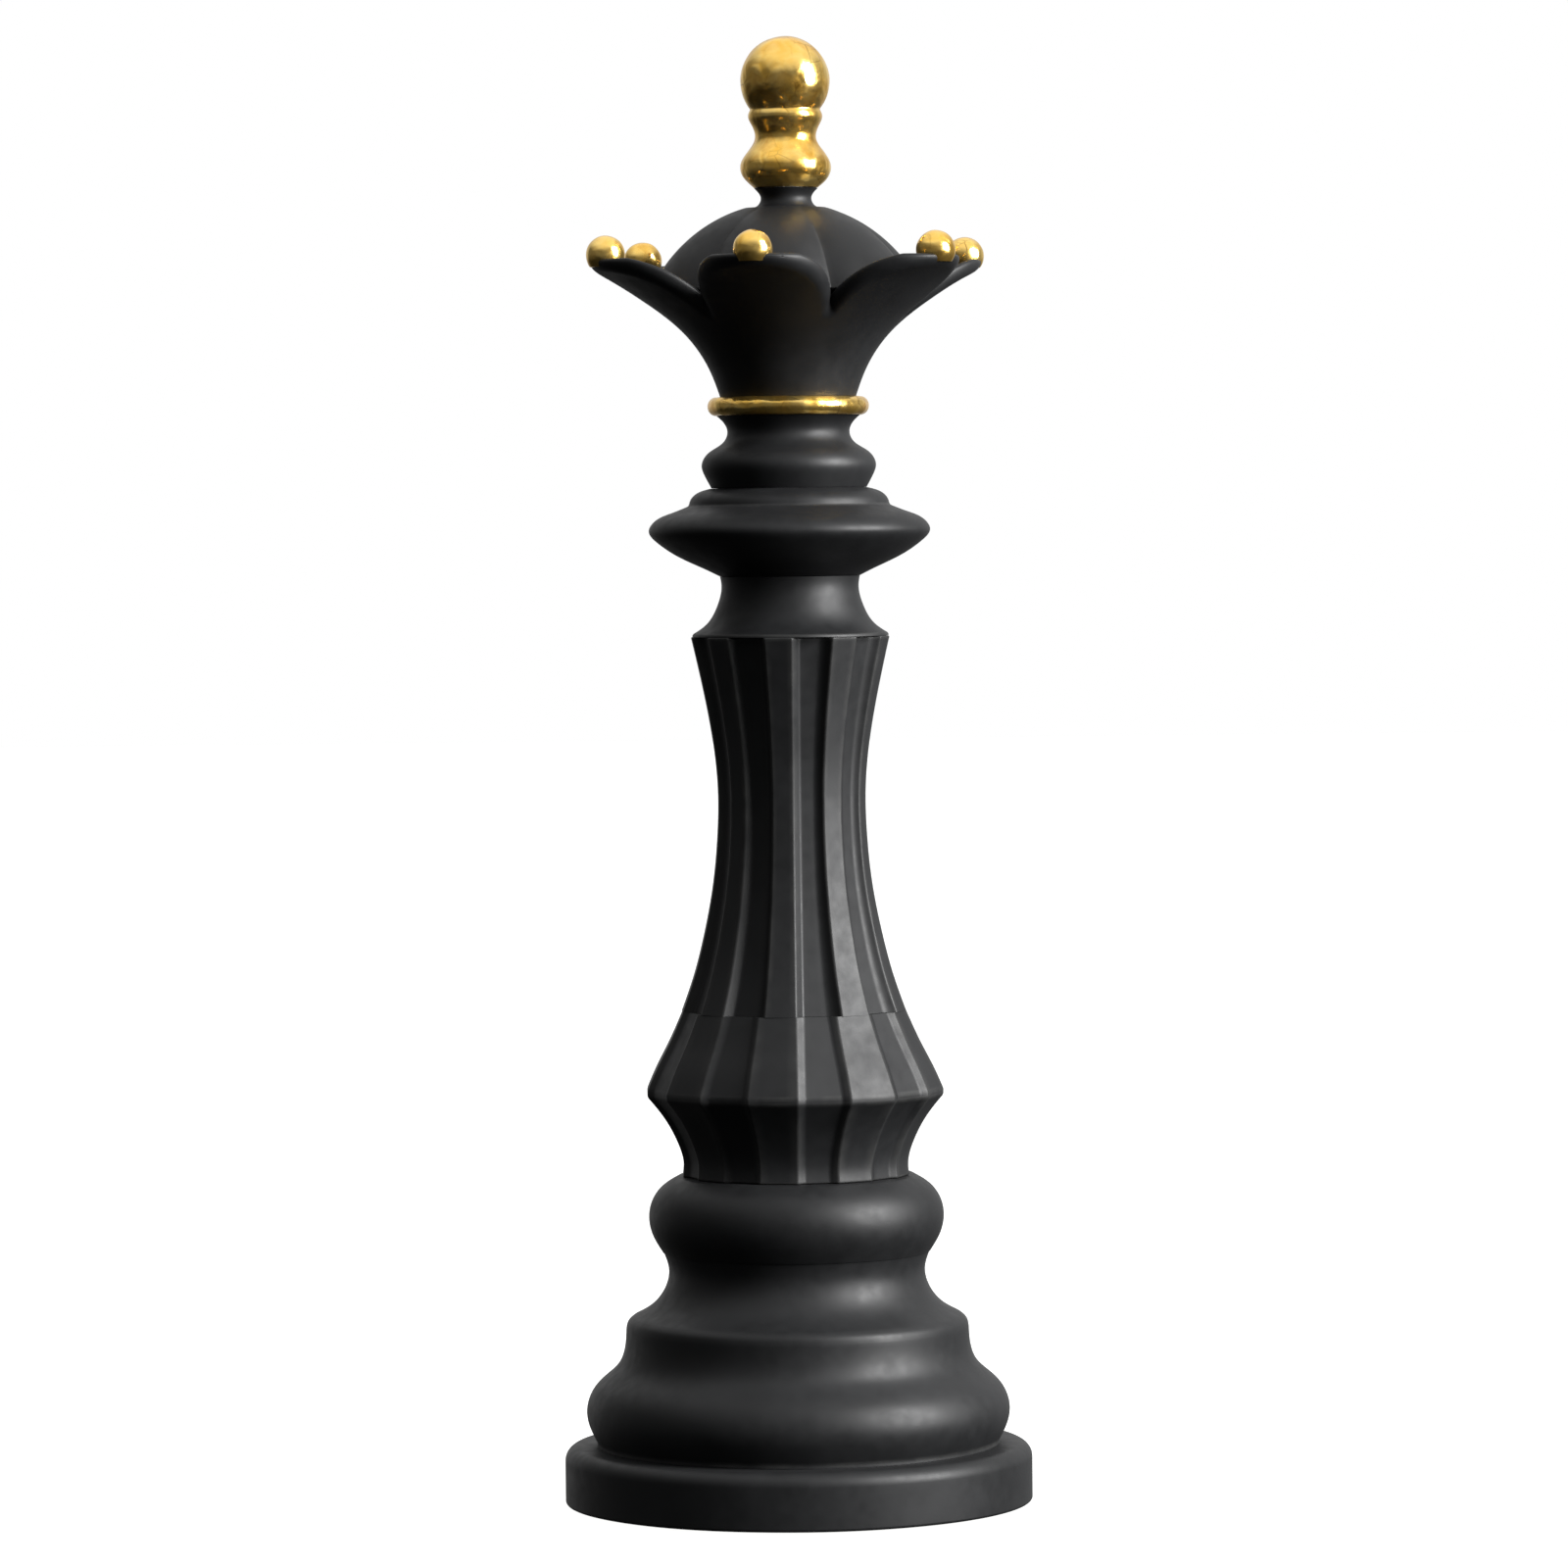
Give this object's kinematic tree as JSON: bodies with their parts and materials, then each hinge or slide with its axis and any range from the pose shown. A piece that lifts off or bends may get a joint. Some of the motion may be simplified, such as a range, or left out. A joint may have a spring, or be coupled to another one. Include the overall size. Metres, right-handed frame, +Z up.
{
  "type": "giant chess piece",
  "caption": "Tall turned chess queen with a fluted shaft, a petalled crown round a lobed dome, gilded beads and ring, and a screw-on ball finial, on a wide weighted base.",
  "frame": {"origin": "centre of the underside, on the surface it stands on", "axes": "+Z up the axis of the piece; -Y is the front; +X is the right seen from the front"},
  "size_m": [0.1166, 0.1166, 0.365],
  "materials": {
    "black_resin": "satin black paint on cast resin",
    "gold_leaf": "gold leaf burnished over cast resin",
    "zinc_steel": "zinc plated",
    "brass": "turned",
    "cast_iron": "as cast",
    "black_felt": "pressed wool felt",
    "cover_plastic": "fine moulded grain",
    "nylon": "natural nylon"
  },
  "bodies": {
    "statue": {"plinth": "black_resin", "base_bell": "black_resin", "base_torus": "black_resin", "shaft_skirt": "black_resin", "shaft_column": "black_resin", "neck": "black_resin", "collar_disc": "black_resin", "collar_bead": "black_resin", "crown": "black_resin", "crown_dome": "black_resin", "gold_ring": "gold_leaf", "crown_bead_1": "gold_leaf", "crown_bead_2": "gold_leaf", "crown_bead_3": "gold_leaf", "crown_bead_4": "gold_leaf", "crown_bead_5": "gold_leaf", "crown_bead_6": "gold_leaf", "tie_rod": "zinc_steel", "base_nut": "zinc_steel", "base_washer": "zinc_steel", "base_spring_washer": "zinc_steel", "cover_screws": "zinc_steel", "column_dowels": "zinc_steel", "crown_washer": "zinc_steel", "crown_nut": "zinc_steel", "bead_pins": "zinc_steel", "base_felt": "black_felt", "base_cover": "cover_plastic", "ballast_weight": "cast_iron", "crown_key": "cover_plastic"},
    "washer_carrier": {"finial_washer": "nylon"},
    "finial": {"finial": "gold_leaf", "finial_insert": "brass"}
  },
  "joints": [
    {"name": "finial_lift", "type": "slide", "parent": "statue", "child": "washer_carrier", "axis": [0, 0, 1], "range_m": [0, 0.01]},
    {"name": "finial_turn", "type": "hinge", "parent": "washer_carrier", "child": "finial", "pos_m": [0, 0, 0.33], "axis": [0, 0, 1], "range_deg": [0, 3600]}
  ],
  "couplings": [
    {"joint": "finial_lift", "follows": "finial_turn", "m_per_rad": 0.00015915}
  ]
}
